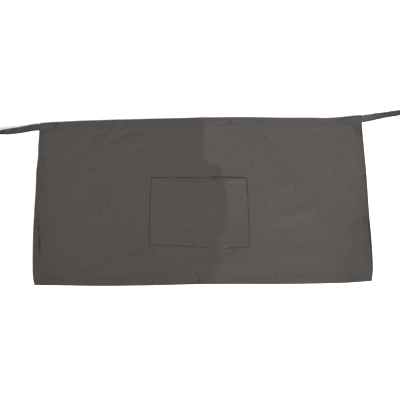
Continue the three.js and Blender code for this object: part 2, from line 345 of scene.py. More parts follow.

# Fine wrinkles: "px" and "py" are the middle in the photograph, "long" and "wide" the half length and half
# width, "turn" degrees from +X, "dark" how much painted shade darkens the cloth there, where less than 0 is
# painted light, "rise" the height, and "bend" how far the middle stands off its ends. A row without a rise is
# painted shade or light alone.
skirt_wrinkles = rows("""
  px    py    long wide turn dark   rise  bend
  73.3  155.5 16   3    58   0.035  -0.3  2
  64    167   15   9    0    0.055  -0.5
  91.5  167.5 14   6    2    0.06   -0.7
  79    197.3 6    3    0    0.03   -0.3
  63.5  200.2 10   5    30   0.08   -0.5
  109   200.6 16   4    66   0.13   -0.6  2
  99    210   14   3.2  86   0.11   -0.5
  69.4  219   6    3.2  -20  -0.15  0.5
  75.3  238.4 7    4    20   -0.05  0.5
  101   246   9    6    80   0.03   -0.4
  87    257.8 8    4    10   -0.04  0.5
  114   258   7    4    0    -0.1   0.4
  122   257.5 5    4    0    -0.1   0.4
  61    258.5 12   5    -35  0.08   -0.5
  87.5  267.6 14   5    5    0.06   -0.8
  61    250   9    4    20   -0.03  0.4
  54.6  240   10   5    70   -0.04  0.3
  142.5 160.2 8    2.2  -6   0.07   -0.3
  143   163   8    2.6  -6   -0.03  0.2
  177.7 160.2 7    2.8  -30  0.1    -0.4
  167.5 143.5 10   7    0    0.06   -0.5
  140   148   11   5    0    0.065  -0.4
  158.8 170   7    2.2  88   0.17   -0.3
  146.5 174   6    2.5  80   0.09   -0.3
  185   169   7    2.5  70   0.1    -0.3
  201.2 148.3 3    2    0    0.14   -0.5
  217.2 168.5 7    5.5  85   0.13   -0.8
  222   146.8 7    1.7  -8   0.22   -0.3
  263.7 137.5 8.5  1.9  0    0.36   0.3
  270   142.5 14   2    -2   0.02   0.3
  252.4 165   6    1.9  80   0.32   0.3
  256.4 163.6 5    1.4  0    0.07   -0.3
  257.5 165.6 6    1.6  0    -0.12  0.7
  294.6 160.9 9    3    35   -0.02  0.4
  295   183.5 7    2.7  68   0.22   0.3
  301   179.4 12   2.9  18   0.16   0.4   2
  286   169   10   3    25   0.02   -0.3
  330   167.8 7    2.4  20   -0.05  0.5
  331   171   7    2.4  20   0.03   -0.3
  271   182.4 5    3    80   -0.08  0.6
  275   183   6    2.6  80   0.05   -0.3
  270   200.2 8    1.3  0    -0.1   0.4
  270   203.2 9    1.4  0    -0.1   0.4
  270   201.7 9    1.1  0    0.05   -0.3
  349.5 186.6 6    1.8  -6   0.24   0.3
  253.8 208.7 7    4.5  85   0.05   -0.5
  250.9 202.5 3.5  2.4  90   -0.24  0.5
  306   208.5 9    3    20   0.05   -0.5
  290   212.2 8    3    -25  0.03   -0.3
  291   215   8    3    -25  -0.03  0.3
  300   215.4 15   3.2  4    -0.03  0.4   1
  333.7 231.7 15   4    0    0.11   -0.6
  356   222   16   8    75   0.07   -0.8
  306   229.2 130  3.4  -0.4 0.035  -0.3
  282   246.6 50   2.4  -1   -0.005 -0.2
  343   248   27   4    2    0.035  -0.4
  271   258.7 12   2.8  8    0.11   -0.4
  294   260.6 8    3.5  -20  0.12   -0.4
  361   268   9    3    40   0.08   -0.4
  310   253   30   3    4    -0.03  0.3
  336   259   20   4    -8   -0.025 0.3
  268.5 251.5 9    4    20   -0.03  0.4
  233.4 250.9 9    2.6  -49  0.26   0.5   1
  229   254   10   5    -49  0.12   -0.3
  226.5 249.4 7    2.2  0    -0.04  0.6
  218   259   7    5    60   0.14   -0.7
  218.4 268.4 6    2    -20  0.2    -0.3
  219.3 265.4 7    3    -20  -0.07  0.4
  240   264   20   4    25   -0.025 0.4
  158   249   8    4    -10  -0.12  0.5
  207   248.6 22   1.8  -5   -0.09  0.4
  198.7 280   8    3    87   0.4    -0.9
  167.5 280.6 9    8    80   0.16   -0.6
  195.5 277   7    3    88   -0.06  0.5
  275   273.7 5.5  3.2  84   0.28   -0.6
  301   276   7    7    88   0.08   -0.4
  352   279.6 18   5    4    0.2    -0.6
  55    278   14   6    -6   0.09   -0.6
  95    278.6 46   3.4  1    0.02   -0.5
  115   276.5 60   4    0.5  0.035  -0.4
  314   280   46   1.5  1.4  -0.05  0.4
  250   282.2 72   1.8  0    -0.03  0.3
  255   278   60   5    0.5  0.035  -0.4
  124.5 137.2 11   3.8  30   0.16   0     1
  123   134   12   3.6  30   0      -0.4  1
  134   133.4 16   2.6  10   0.1
  134   131   15   3    10   0      -0.25
  111   143.2 16   2.6  24   0.11   0     1
  110   140.4 15   3    24   0      -0.25 1
  101   146   10   2.4  10   0.08   -0.15
  107   136.4 20   3.4  50   -0.06  0.3
  103.6 145   9    1.8  20   -0.06  0.3
  104.6 133.6 20   3.6  46   0.03   -0.4  1
  99.6  133.4 16   3.2  52   -0.05  0.3   1
  119   131.6 15   4    20   -0.04  0.3
  115   125.4 9    4    -20  -0.05  0.3
  89    131   14   4    45   0.07
  85    133   12   4    40   0.05
  77    128   13   4    -12  0.06   -0.3
  83    130.3 6    2.4  0    0.12   -0.2
  73    154   11   2.6  62   0.05   -0.2  1
  62    146   15   14   70   -0.02  0.3
  92    152   18   9    0    0.03
  120   152.5 12   6    0    0.02
  241   282.2 8    1.5  0    -0.13
  262   281.6 9    1.6  0    -0.14  0     1
  286   282.3 9    1.5  0    -0.14  0     1
  300   280.4 5    1.5  0    -0.08
  300   282.4 5    1.5  0    -0.12
  321   280.3 11   1.5  0    -0.14  0     1
  332   281.3 7    1.6  0    -0.12
  342   281.8 7    1.6  2    -0.14
  118   140   9    3.4  32   0.1
  125   132   6    2.6  10   0.07
  103   148   8    2.6  20   0.06
  118   147.5 8    3    20   -0.07
  127   144   8    3    20   -0.08
  117   126.5 8    4    0    -0.08
  43    129   6    5    0    -0.12
  100   150   10   6    0    0.04
  97    195   8    6    80   -0.07
  107   206   7    6    70   0.05
  123   255   8    5    0    -0.03
  143   237   8    8    0    0.04
  229.3 129.5 5    2    88   0.14
  222   172   5    3    80   0.06
  209   132   6    4    80   0.05
  209   147   7    4    80   0.05
  224   253   6    4    0    0.1
  222   263   6    5    0    0.05
  295   187   6    4    40   0.09
  290   174   7    5    20   -0.06
  297   128.5 8    2.4  0    0.06
  257   128.5 8    2.4  0    0.06
  323   214   9    6    10   -0.06
  316   248   12   4    0    -0.04
  355   200   5    14   0    -0.06
  358   178   4    5    0    -0.06
  352   134   6    5    0    -0.08
  357   129   7    5    -60  0.14
  359   140   8    4    85   0.08
  362   184   12   3    85   0.1
  360   223   8    6    80   0.09
  366   253   7    2    -86  0.16
  357   245   34   12   90   0.06
  46    272   18   12   0    0.06
  43    236   30   5    88   0.05
""")
pocket_wrinkles = rows("""
  px    py    long wide turn dark  rise bend
  236   180.8 23   3.4  0    -0.16 0.7
  245   181.5 4    3    50   -0.16 0.5
  166.5 179.4 13   1.8  0    0.1
  204   182.5 16   6    0    -0.05 0.4
  172.5 187   9    6    0    -0.03 0.3
  213.6 179   4    2.8  40   0.36  0.9
  200   197   9    9    0    0.04  -0.4
  233.7 189   6.5  1.1  -3   -0.12 0.3
  233.7 190.2 7    1.1  -3   0.14  -0.3
  233.7 191.4 7    1.3  -3   -0.06 0.3
  205   229.2 105  3.5  0    0.025 -0.3
  189   229.6 11   4.5  3    0.08  -0.4
  215.5 222   10   4    80   0.03  -0.4
  229   218.4 9    4    -30  0.08  -0.5
  222   235   14   4    15   -0.03 0.4
  193.4 244.2 4.5  1.9  40   0.45  0.4
  226   245   6    2.2  0    -0.18 0.5
  216   231   12   5    75   0.01  -0.3
  160   190   12   4    -35  0     -0.4
  157   205   10   3    5    0.02  -0.3
  240   205   12   8    70   -0.03 0.5
  229   185   6    4    0    0.11
  229   227   8    5    30   0.12
  232   216   6    4    0    0.05
  219   229   5    4    0    -0.08
  157   216   8    8    0    -0.05
  226   242   6    3    0    0.04
""")
band_wrinkles = rows("""
  px    py    long wide turn dark  rise bend
  229.3 121.5 12   2.3  88   0.3   -0.8
  55.8  124.6 9    3    80   0.46  -0.7
  261   120   9    3.5  0    0.1   -0.5
  322   123.5 9    5    0    0.1   -0.5
  123   121   8    2.4  70   0.02  -0.3
  344   118.5 18   2.4  6    0.16  0.4
  355   122.2 9    1.7  2    -0.08 0.6
  354   125.5 14   4    2    0.18  -0.4
  218   121   6    5    0    -0.08
  237   121   6    4    0    -0.07
  250   122   9    4    0    -0.07
  298   122   6    4    0    -0.08
  311   125   7    3    0    -0.08
  338   124   8    3.4  0    -0.09
  175   122   10   4    0    -0.06
  118   124   10   4    0    -0.06
  80    121   18   3    4    -0.06
  120   120.5 8    5    0    -0.14
  192   121   10   4    0    -0.06
""")

# Where the side hems rope, in the same columns, "dark" being the painted shade along the ropes
hem_ropes = rows("""
  px    py    long wide turn dark  rise bend
  42.4  161   13   2    84   0.34  -0.5
  39    168   5    1.5  80   0.5   -0.4
  41    184   18   2    89   0.34  -0.6
  37.6  198   9    2    80   0.14  -0.4
  37.8  217   9    1.8  84   0.42  -0.5
  38.2  228   12   2.2  88   0.6   -0.7
  38.8  242   20   2.2  90   0.8   -0.9
  39.7  252   8    2.2  -70  0.4   -0.6
  38.2  260   13   2    66   0.3   -0.5
  36.2  268   8    1.6  72   0.06  -0.4
  360.6 133   9    3    -86  0.45  -0.5
  364.2 175   6    2    -84  0.7   -0.4
  364.2 219   13   1.6  -87  0.5   -0.5
  365.6 247   13   1.5  -87  0.15  -0.4
  366   258   9    1.4  -86  0.1   -0.4
  367.8 221   14   1.8  -85  0.24  -0.4
  354.5 128.8 16   4    -62  0.14  -0.4
  350   131.5 14   5    -62  -0.03 0.4
""")

# How dark the painted shadow along the pocket's outline is, along its mouth, its base and its sides, where
# less than 0 is painted light, and how far the mouth's edge is worn flat
mouth_rim = rows("""
  px  dark
  151 0.5
  154 0.9
  160 0.95
  164 0.1
  173 0.05
  186 0.05
  192 0.15
  196 -0.45
  209 -0.5
  212 0.1
  217 0.65
  221 0
  227 0.8
  241 0.9
  245 -0.5
""")
mouth_worn = rows("""
  px  share
  160 0
  167 0.6
  190 0.6
  197 1
  209 1
  213 0.2
  219 0.5
  224 0.5
  227 0
""")
base_rim = rows("""
  px  dark
  150 0.5
  160 0.5
  165 0.7
  191 0.8
  194 0.9
  197 0.4
  204 0.9
  208 0.2
  216 0.2
  222 0.05
  227 0.05
  229 0.9
  240 0.8
  250 1
""")
side_rim = rows("""
  py  left right
  177 0.5  0.6
  180 0.5  1
  190 0.35 0.9
  197 0.6  0.5
  201 0.6  0.5
  203 0.6  0.3
  206 0.4  0.6
  213 0.95 0.7
  222 0.7  0.7
  231 0.55 0.45
  240 0.7  0.4
  246 0.8  0.7
""")

# Painted shade and light on the cloth: soft patches round a place in the photograph, "wide" and "high" their
# half sizes in the photograph's pixels, and "shade" how much darker the cloth is painted there, where less
# than 0 is painted light
shade_rows = rows("""
  px  py  wide high turn shade
  200 330 420  110  0    0.15
  84  215 50   60   0    0.03
  300 222 30   16   0    -0.04
  130 150 30   14   0    0.02
  38  200 18   120  0    0.1
  60  270 40   26   0    0.07
  352 245 26   45   0    0.09
  370 230 14   60   0    0.05
  236 240 16   22   0    0.08
  142 262 24   14   0    0.07
  120 274 40   6    0    0.05
  54  282 26   7    0    0.08
  44  282 7    5    0    0.05
  280 274 14   6    0    0.03
  354 278 16   7    0    0.1
  345 121 14   6    0    0.06
  357 127 8    10   0    0.14
  230 238 7    26   0    0.05
  221 256 7    6    0    0.06
  357 236 10   44   0    0.08
  343 270 22   12   0    0.05
  42  240 8    60   0    0.07
  130 272 40   8    0    0.04
  100 262 30   14   0    0.02
  245 234 8    14   0    0.06
  226 258 10   7    0    0.05
  344 262 12   8    0    0.04
  60  268 14   14   0    0.03
  104 152 8    6    0    0.05
  62  134 22   9    0    0.03
  196 283 9    4    0    0.06
  258 283 12   3    0    0.07
  202 178 5    3    0    -0.05
""")

# The step in painted shade between the two halves of the centre crease, from the top down: "px" where it is,
# "soft" how wide, in pixels
step_rows = rows("""
  at  px  soft
  117 203 3
  158 204 3
  162 208 4
  165 220 4
  178 222 5
  190 226 4
  205 228 6
  222 227 9
  236 220 12
  262 217 9
  270 214 12
  285 208 30
""")
# Painted shade over the whole left half, standing in for the light falling differently on the crease's two
# halves
half_shade = 0.226  # how much darker the left half is

# How much painted shade darkens the cloth along its sides, by the height in the photograph
side_shade = rows("""
  py  left right right_rim
  120 0.18 0.09  0.2
  132 0.2  0.09  0.25
  145 0.06 0.06  0.2
  170 0.12 0.07  0.15
  190 0.14 0.07  0.3
  205 0.1  0.07  0.15
  215 0.12 0.12  0.3
  223 0.12 0.12  0.9
  242 0.13 0.06  0.9
  255 0.14 0.06  0.4
  270 0.12 0.08  0.35
  285 0.04 0.06  0
""")

# How much painted shade darkens the cloth along the bottom hem, by the distance right of the middle
bottom_shade = rows("""
  x    dark
  -380 0.06
  -120 0.05
  0    0.05
  120  0.025
  380  0.06
""")


def clamp01(x):
    return np.clip(x, 0, 1)


def smooth(x):
    x = clamp01(x)
    return x * x * (3 - 2 * x)


def bell(x):
    return np.exp(-(x**2))


def from_ends(share, length):
    """How far a place is from the nearer end of a length."""
    return np.minimum(share, 1 - share) * length


def level(table, column, at):
    """One column of a table, straight from row to row. Its first column is the place."""
    return np.interp(at, next(iter(table.values())), table[column])


def table_at(table, column, at):
    """The smooth value of one column of a table, through every row."""
    x, y = table["at"], table[column]
    last = len(x) - 1
    before, after = np.maximum(np.arange(last + 1) - 1, 0), np.minimum(np.arange(last + 1) + 1, last)
    slope = (y[after] - y[before]) / (x[after] - x[before])
    i = np.clip(np.searchsorted(x, at, side="right") - 1, 0, last - 1)
    span = x[i + 1] - x[i]
    s = clamp01((at - x[i]) / span)
    return (
        y[i] * (1 - 3 * s**2 + 2 * s**3)
        + y[i + 1] * (3 * s**2 - 2 * s**3)
        + slope[i] * span * (s - 2 * s**2 + s**3)
        + slope[i + 1] * span * (s**3 - s**2)
    )


def edge_ends(middle, width, tilt):
    """The two ends of a straight edge, tilted about its middle."""
    half = width / 2 * np.exp(1j * math.radians(tilt))
    return middle - half, middle + half


def sheet_plan(base, top, bows, size):
    """A four-sided sheet's plan, as a function of the shares across and up."""

    def side(start, end, table, turn):
        chord = end - start
        out = -1j * chord / abs(chord) * turn * size
        return lambda at: start + chord * at + out * table_at(table, "out", at)

    low = side(*base, bows["bottom"], 1)
    high = side(*top, bows["top"], -1)
    left = side(base[0], top[0], bows["left"], -1)
    right = side(base[1], top[1], bows["right"], 1)

    def plan(u, v):
        corners = base[0] * (1 - u) * (1 - v) + base[1] * u * (1 - v) + top[0] * (1 - u) * v + top[1] * u * v
        return low(u) * (1 - v) + high(u) * v + left(v) * (1 - u) + right(v) * u - corners

    return plan


skirt_outline = sheet_plan(
    edge_ends(hem_shift / 2 - 1j * drop / 2, hem_width, hem_tilt),
    edge_ends(-hem_shift / 2 + 1j * drop / 2, waist_width, waist_tilt),
    {"bottom": hem_bow, "top": waist_bow, "left": left_bow, "right": right_bow},
    drop,
)
pocket_plan = sheet_plan(
    edge_ends(pocket_middle + base_shift - 1j * pocket_depth / 2, mouth_width + base_flare, base_tilt),
    edge_ends(pocket_middle + 1j * pocket_depth / 2, mouth_width, mouth_tilt),
    {"bottom": base_bow, "top": mouth_bow, "left": pocket_side_bow, "right": pocket_side_bow},
    drop,
)


def skirt_plan(u, v):
    """The skirt's plan, with its two bottom corners rounded."""
    from_side = from_ends(u, waist_width)
    near = clamp01(1 - from_side / corner_round) ** 2 * clamp01(1 - v * drop / corner_round) ** 2
    inwards = np.where(u < 0.5, 1, -1) + 1j
    settled = skirt_outline(u, v) - 1j * hem_settle * clamp01(1 - v) ** 4
    return settled + near * inwards * corner_round * 0.3


def relief_at(place):
    """Height of the cloth's back above the floor, from the crease and the soft folds."""
    up = clamp01(place.imag / drop + 0.5)
    from_crease = (place.real - table_at(crease_rows, "across", up) * hem_width / 2) / crease_half
    flank = clamp01((1 - np.hypot(from_crease, crease_round)) / (1 - crease_round))
    height = crease_rise * table_at(crease_rows, "rise", up) * flank**2
    for x, y, long, wide, turn, rise in zip(*fold_rows.values()):
        middle = x * hem_width / 2 + 1j * y * drop / 2
        local = (place - middle) * np.exp(-1j * math.radians(turn)) / drop
        along, across = clamp01(1 - (local.real / long) ** 2), clamp01(1 - (local.imag / wide) ** 2)
        height = height + fold_rise * rise * along**2 * across**2
    return height


def wrinkles_at(table, place):
    """The height and the painted shade that a table of fine wrinkles gives at a place."""
    height, shade = np.zeros(place.shape), np.zeros(place.shape)
    for px, py, long, wide, turn, dark, rise, bend in zip(*table.values()):
        local = (place - plan_at(px + half_pixel, py + half_pixel)) * np.exp(-1j * math.radians(turn))
        along, bowed = local.real / long, local.imag - bend * (1 - (local.real / long) ** 2)
        form = clamp01(1 - along**4) * bell(bowed / wide)
        height += rise * form
        shade += dark * form
    return height, shade


def dents_at(place, count, seed, rise):
    """Faint dents and ridges all over the cloth, none of them sharp."""
    draw = np.random.default_rng(seed)
    height = np.zeros(place.shape)
    for x, y, turn, long, wide, share in draw.random((count, 6)):
        middle = (x - 0.5) * hem_width + 1j * (y - 0.5) * drop
        local = (place - middle) * np.exp(-1j * math.pi * turn)
        form = bell(local.real / (10 + 26 * long)) * bell(local.imag / (4 + 7 * wide))
        height += rise * (2 * share - 1) * form
    return height


def pucker(along, away, seed=0.0, reach=7.0):
    """The small waves that stitching draws into cloth, dying out away from the seam."""
    waves = (
        np.sin(along / 1.37 + seed)
        + 0.8 * np.sin(along / 2.31 + 2.1 * seed + 1.3)
        + 0.7 * np.sin(along / 4.9 + 3.7 * seed + 0.4)
    )
    fade = 0.6 + 0.4 * np.sin(along / 37 + seed * 5)
    return waves * fade * np.exp(-np.abs(away) / reach)


def curl_at(u, v):
    """Extra height near the skirt's sides, where the hems curl."""

    def near(share):
        return clamp01(1 - share * hem_width / curl_width) ** 2

    lift = table_at(left_curl, "lift", v) * near(u) + table_at(right_curl, "lift", v) * near(1 - u)
    return curl_rise * np.maximum(0, lift)


def tone_at(place):
    """How light the cloth is painted at a place: painted shade on the left half of the crease and the patches
    of painted shade and light.
    """
    px, py = pixel_at(place)
    past_step = (px - level(step_rows, "px", py)) / level(step_rows, "soft", py) + 0.5
    tone = 1 - half_shade * (1 - smooth(past_step))
    for x, y, wide, high, turn, shade in zip(*shade_rows.values()):
        local = ((px - x) + 1j * (y - py)) * np.exp(-1j * math.radians(turn))
        tone = tone * (1 - shade * bell(local.real / wide) * bell(local.imag / high))
    return tone


def from_pocket(place):
    """How far a place is outside the pocket's outline, or less than 0 inside it."""
    local = place - pocket_middle
    half_width = (mouth_width + base_flare * (0.5 - local.imag / pocket_depth)) / 2
    beyond = np.abs(local.real) - half_width
    above = np.abs(local.imag) - pocket_depth / 2
    outside = np.hypot(np.maximum(beyond, 0), np.maximum(above, 0))
    return outside + np.minimum(np.maximum(beyond, above), 0)


def points_of(place, height):
    """Points in space over places in the plan."""
    return np.stack([place.real, place.imag, height + 0 * place.real], axis=-1)


def face_of(surfaces, side):
    """A sheet's front for side 0, or its back for side 1, as points over the shares."""

    def face(u, v):
        place, *heights, _ = surfaces(u, v)
        return points_of(place, heights[side])

    return face


def mesh_of(name, vertices, faces, material, **attributes):
    """A smooth mesh object that rides with the part. Attributes hold one value for each vertex."""
    mesh = bpy.data.meshes.new(name)
    mesh.from_pydata((np.asarray(vertices) * MM).tolist(), [], faces)
    for key, values in attributes.items():
        kind, field = ("FLOAT", "value") if values.ndim == 1 else ("FLOAT_VECTOR", "vector")
        attribute = mesh.attributes.new(key, kind, "POINT")
        attribute.data.foreach_set(field, values.astype(np.float32).ravel())
    mesh.materials.append(material)
    mesh.shade_smooth()
    piece = bpy.data.objects.new(name, mesh)
    bpy.context.scene.collection.objects.link(piece)
    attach(piece, "root")
    return piece


def back_faces(ids):
    """Faces of a sheet's back, each over two by two cells of the grid. At the rim they take in its points."""
    faces = []
    last_v, last_u = ids.shape[0] - 1, ids.shape[1] - 1
    around = [(0, 0), (1, 0), (2, 0), (2, 1), (2, 2), (1, 2), (0, 2), (0, 1)]
    for i in range(0, last_v, 2):
        for j in range(0, last_u, 2):
            ring = [(i + a, j + b) for a, b in around]
            on_rim = [a in (0, last_v) or b in (0, last_u) for a, b in ring]
            faces.append([ids[a, b] for k, (a, b) in enumerate(ring) if k % 2 == 0 or on_rim[k]])
    return faces


def sheet_mesh(name, front, back, round_share, material, grain, tone):
    """A closed sheet between two surfaces over one grid, the back with half as many points each way. Both
    meet in its rim, which round_share rounds: it is 0 along the rim and 1 where the sheet is fully thick."""
    count_v, count_u = front.shape[:2]
    middle, half = (front + back) / 2, (front - back) / 2 * round_share[..., None]
    ids = np.arange(count_v * count_u).reshape(count_v, count_u)
    quads = np.stack([ids[:-1, :-1], ids[:-1, 1:], ids[1:, 1:], ids[1:, :-1]], axis=-1).reshape(-1, 4)
    back_ids = ids.copy()
    inner = back_ids[2:-2:2, 2:-2:2]
    inner[:] = ids.size + np.arange(inner.size).reshape(inner.shape)

    def both(front_values, back_values):
        kept = back_values[2:-2:2, 2:-2:2]
        return np.concatenate([front_values.reshape(ids.size, -1), kept.reshape(inner.size, -1)])

    faces = quads.tolist() + back_faces(back_ids)
    return mesh_of(
        name,
        both(middle + half, middle - half),
        faces,
        material,
        grain=both(grain, grain * [1, 1, 0] + [0, 0, 1]),
        tone=both(tone, np.ones_like(tone))[:, 0],
    )


def rim(distance, radius):
    """The share of a sheet's full thickness that it has at a distance from its edge."""
    return np.sqrt(np.maximum(0, 1 - clamp01(1 - distance / radius) ** 2))


def lines(start, end, spacing):
    """Even grid lines between two places, both included, about spacing apart."""
    return np.linspace(start, end, max(2, round((end - start) / spacing) + 1))


def odd(places):
    """The same grid lines, with one more in the middle of the widest gap if their number is even."""
    places = np.asarray(places, float)
    if len(places) % 2:
        return places
    widest = np.argmax(np.diff(places))
    return np.insert(places, widest + 1, places[widest:widest + 2].mean())


def hem_lines(hem, stitch):
    """Grid lines across a hem, close together at its edge, its stitching and its inner edge."""
    seam = hem - stitch
    edge = [0, 0.15, 0.5, 1.1]
    within = lines(2.2, seam - 1.5, 2.1)
    return [*edge, *within, seam - 0.9, seam - 0.45, seam, seam + 0.45, seam + 0.9, hem - 0.1, hem + 0.15]


def groove(distance, depth=0.12, half=0.7):
    """The depth that a line of stitching is drawn into the cloth, by the distance from it."""
    return depth * bell(distance / half)


skirt_spacing = 1.95
pocket_spacing = 1.15

side_lines = [*hem_lines(side_hem, hem_stitch), side_hem + 1.2, side_hem + 2.6, side_hem + seam_slope]
skirt_across = odd(np.concatenate([
    side_lines[:-1],
    lines(side_lines[-1], waist_width - side_lines[-1], skirt_spacing),
    waist_width - np.array(side_lines[-2::-1]),
])) / waist_width
band_foot = 1 - band_height / drop
skirt_top = 1 - (band_wall + lap + 0.6) / drop
skirt_up = odd(np.concatenate([
    hem_lines(bottom_hem, hem_stitch),
    [bottom_hem + 1.2, bottom_hem + 2.6],
    lines(bottom_hem + seam_slope, drop - band_height - 3, skirt_spacing),
    drop - band_height + np.array([-1.6, -0.6, 0.4, 2, 5, 9, 13]),
    skirt_top * drop + np.array([-1, -0.4, 0]),
])) / drop


def skirt_relief(u, v):
    """The relief on the skirt. In the waistband it is the one at the band's foot."""
    return relief_at(skirt_outline(u, np.minimum(v, band_foot)))


def skirt_surfaces(u, v):
    """The skirt's place in the plan, its front and back surfaces and its painted shade."""
    place = skirt_plan(u, v)
    from_side, from_bottom = from_ends(u, waist_width), v * drop
    below_band = (band_foot - v) * drop
    outside = from_pocket(place)
    along_hem = u * hem_width
    in_hem = 1 - smooth(np.minimum((from_side - side_hem), (from_bottom - bottom_hem)) / seam_slope)
    in_layer = (from_side < side_hem) | (from_bottom < bottom_hem)
    ramp = smooth((v - band_foot) / (band_ramp / drop) + 1) * (band_wall + lap)
    base = skirt_relief(u, v) + curl_at(u, v) + ramp
    fine, shade = wrinkles_at(skirt_wrinkles, place)
    rope, rope_shade = wrinkles_at(hem_ropes, place)
    open_cloth = smooth((outside + 2) / 6) * smooth((below_band + 2) / 8)
    waves = 0.17 * pucker(along_hem, from_bottom - bottom_seam, 0.3)
    waves += 0.221 * pucker(from_bottom + 900 * (u > 0.5), from_side - side_seam, 1.1, 6)
    waves += 0.12 * pucker(along_hem, below_band, 2.2, 9) * smooth((below_band + 2) / 5)
    waves += 0.12 * pucker(place.real + place.imag, outside, 3.1, 6) * smooth(outside / 3)
    seams = groove(from_side - side_seam) * (from_bottom > bottom_seam)
    seams = np.maximum(seams, groove(from_bottom - bottom_seam) * (from_side > side_seam))
    detail = (fine + dents_at(place, 150, 5, 0.16)) * open_cloth + rope + waves
    front = base + detail + cloth_wall + under_step + (hem_wall - cloth_wall - under_step) * in_hem - seams
    back = base + (detail - waves) * 0.8 + under_step * ~in_layer
    lowest = np.minimum(np.minimum(back, front - 0.4), 0)
    # Painted contact shadow round the pocket's sides and base, and under the waistband
    past_mouth = smooth((place.imag - pocket_middle.imag) / pocket_depth * 12 - 5)
    painted_contact_shadow = 0.08 * bell(outside / 1.7) * (1 - past_mouth) + 0.03 * bell(below_band / 3)
    _, py = pixel_at(place)
    # Painted shade along the sides, darkest at the right side's rim, and along the bottom edge and hem
    left_painted_edge_shade = level(side_shade, "left", py) * (1 - smooth((from_side - 9) / 6))
    left_painted_edge_shade += 0.12 * bell(from_side / 1.5)
    right_painted_edge_shade = level(side_shade, "right", py) * bell(from_side / 19)
    right_painted_edge_shade += level(side_shade, "right_rim", py) * bell(from_side / 4.6)
    painted_edge_shade = np.where(u < 0.5, left_painted_edge_shade, right_painted_edge_shade) + 0.15 * bell(from_bottom / 1.5)
    painted_edge_shade += level(bottom_shade, "dark", place.real) * (1 - smooth((from_bottom - 14) / 8))
    # Painted shade of the wrinkles, the contact shadow and the stitch grooves, then of the edges and the
    # ropes
    tone = tone_at(place) * (1 - shade * open_cloth - painted_contact_shadow - 0.15 * seams)
    tone = np.maximum(tone * (1 - painted_edge_shade) * (1 - rope_shade), 0.05)
    return place, front - lowest, back - lowest, tone


def make_laid(name, surfaces, grid, size, weave_width, top, radius, material):
    """A sheet that lies flat. grid holds its lines across and up, size its width and height, weave_width the
    width that its weave is counted over, top the share up where it ends and radius that of its rim."""
    u, v = np.meshgrid(*grid)
    place, front, back, tone = surfaces(u, v)
    round_share = rim(np.minimum(from_ends(u, size[0]), np.minimum(v, top - v) * size[1]), radius)
    grain = np.stack([u * weave_width, v * size[1], 0 * u], axis=-1)
    front, back = points_of(place, front), points_of(place, back)
    return sheet_mesh(name, front, back, round_share, material, grain, tone)


def make_skirt(material):
    grid, size = (skirt_across, skirt_up), (waist_width, drop)
    return make_laid("skirt_cloth", skirt_surfaces, grid, size, hem_width, skirt_top, 0.9, material)


# What a tie rests on inside the waistband: the back leaf and the skirt's side hem
tie_seat = band_wall + lap + hem_wall + lap


def band_points(u, share, offset):
    """Points of the waistband. share runs along the strip, from the front leaf's foot over the fold at 0.5
    to the back leaf's foot, and offset is how far outside the strip's middle they lie."""
    past_tie = from_ends(u, waist_width) - tie_tuck - tie_end_room
    over_tie = tie_seat + tie_wall + lap
    over_cloth = band_wall + lap + cloth_wall + under_step + lap + 0.25
    front = over_tie + (over_cloth - over_tie) * smooth(past_tie / seam_slope) + band_wall / 2
    back = band_wall / 2
    radius = (front - back) / 2
    fold_share = 0.12  # of the strip's length, taken by the round of the fold
    leaf_end = 0.5 - fold_share / 2
    angle = np.pi * clamp01((share - leaf_end) / fold_share)
    from_foot = from_ends(share, 1) / leaf_end
    down = band_wall / 2 + radius + (band_height - band_wall / 2 - radius) * (1 - clamp01(from_foot))
    in_fold = (share > leaf_end) & (share < 1 - leaf_end)
    down = np.where(in_fold, band_wall / 2 + radius * (1 - np.sin(angle)), down)
    height = back + radius * (1 + np.cos(angle))
    front_side = smooth((0.5 - share) / 0.06 + 0.5)
    place = skirt_outline(u, 1 - down / drop)
    along = u * waist_width
    fine, shade = wrinkles_at(band_wrinkles, place)
    waves = 0.13 * pucker(along, band_height - band_stitch - down, 4.2, 5)
    waves += 0.16 * np.sin(along / 11 + 1.7 * np.sin(along / 53)) * smooth((band_height - down) / 6)
    seam = groove(down - band_height + band_stitch)
    detail = (fine + waves - seam) * front_side
    out = np.exp(1j * angle)
    height = height + detail + offset * np.where(in_fold, out.real, np.where(share < 0.5, 1, -1))
    place = place + 1j * offset * np.where(in_fold, out.imag, 0)
    # Painted shade of the band's wrinkles and of its stitch groove
    place_tone = tone_at(place) * (1 - shade - 0.2 * seam)
    return points_of(place, height + skirt_relief(u, band_foot)), place_tone * (1 - 0.05 * front_side)


def make_band(material):
    leaf = np.array([0, 0.15, 0.5, 1.1, 1.5, 2, 2.5, 3.4, 5.5, 8, 10.5, 13, 15]) / band_strip
    fold = np.linspace(0.44, 0.5, 7)
    shares = odd(np.concatenate([leaf, fold, 1 - fold[-2::-1], 1 - leaf[::-1]]))
    u, share = np.meshgrid(skirt_across, shares)
    outer, tone = band_points(u, share, band_wall / 2)
    inner, _ = band_points(u, share, -band_wall / 2)
    from_end, from_foot = from_ends(u, waist_width), from_ends(share, band_strip)
    grain = np.stack([u * waist_width, share * band_strip, 0 * u], axis=-1)
    over_tie = 1 - smooth((from_end - tie_tuck) / 10)
    # Painted shade along the leaves' feet, and along the fold where the tie lies inside it
    tone = tone * (1 - 0.09 * bell(from_foot / 0.9)) * (1 - 0.3 * over_tie * bell((share - 0.46) / 0.035))
    round_share = rim(np.minimum(from_end, from_foot), 0.6)
    return sheet_mesh("waistband_cloth", outer, inner, round_share, material, grain, tone)


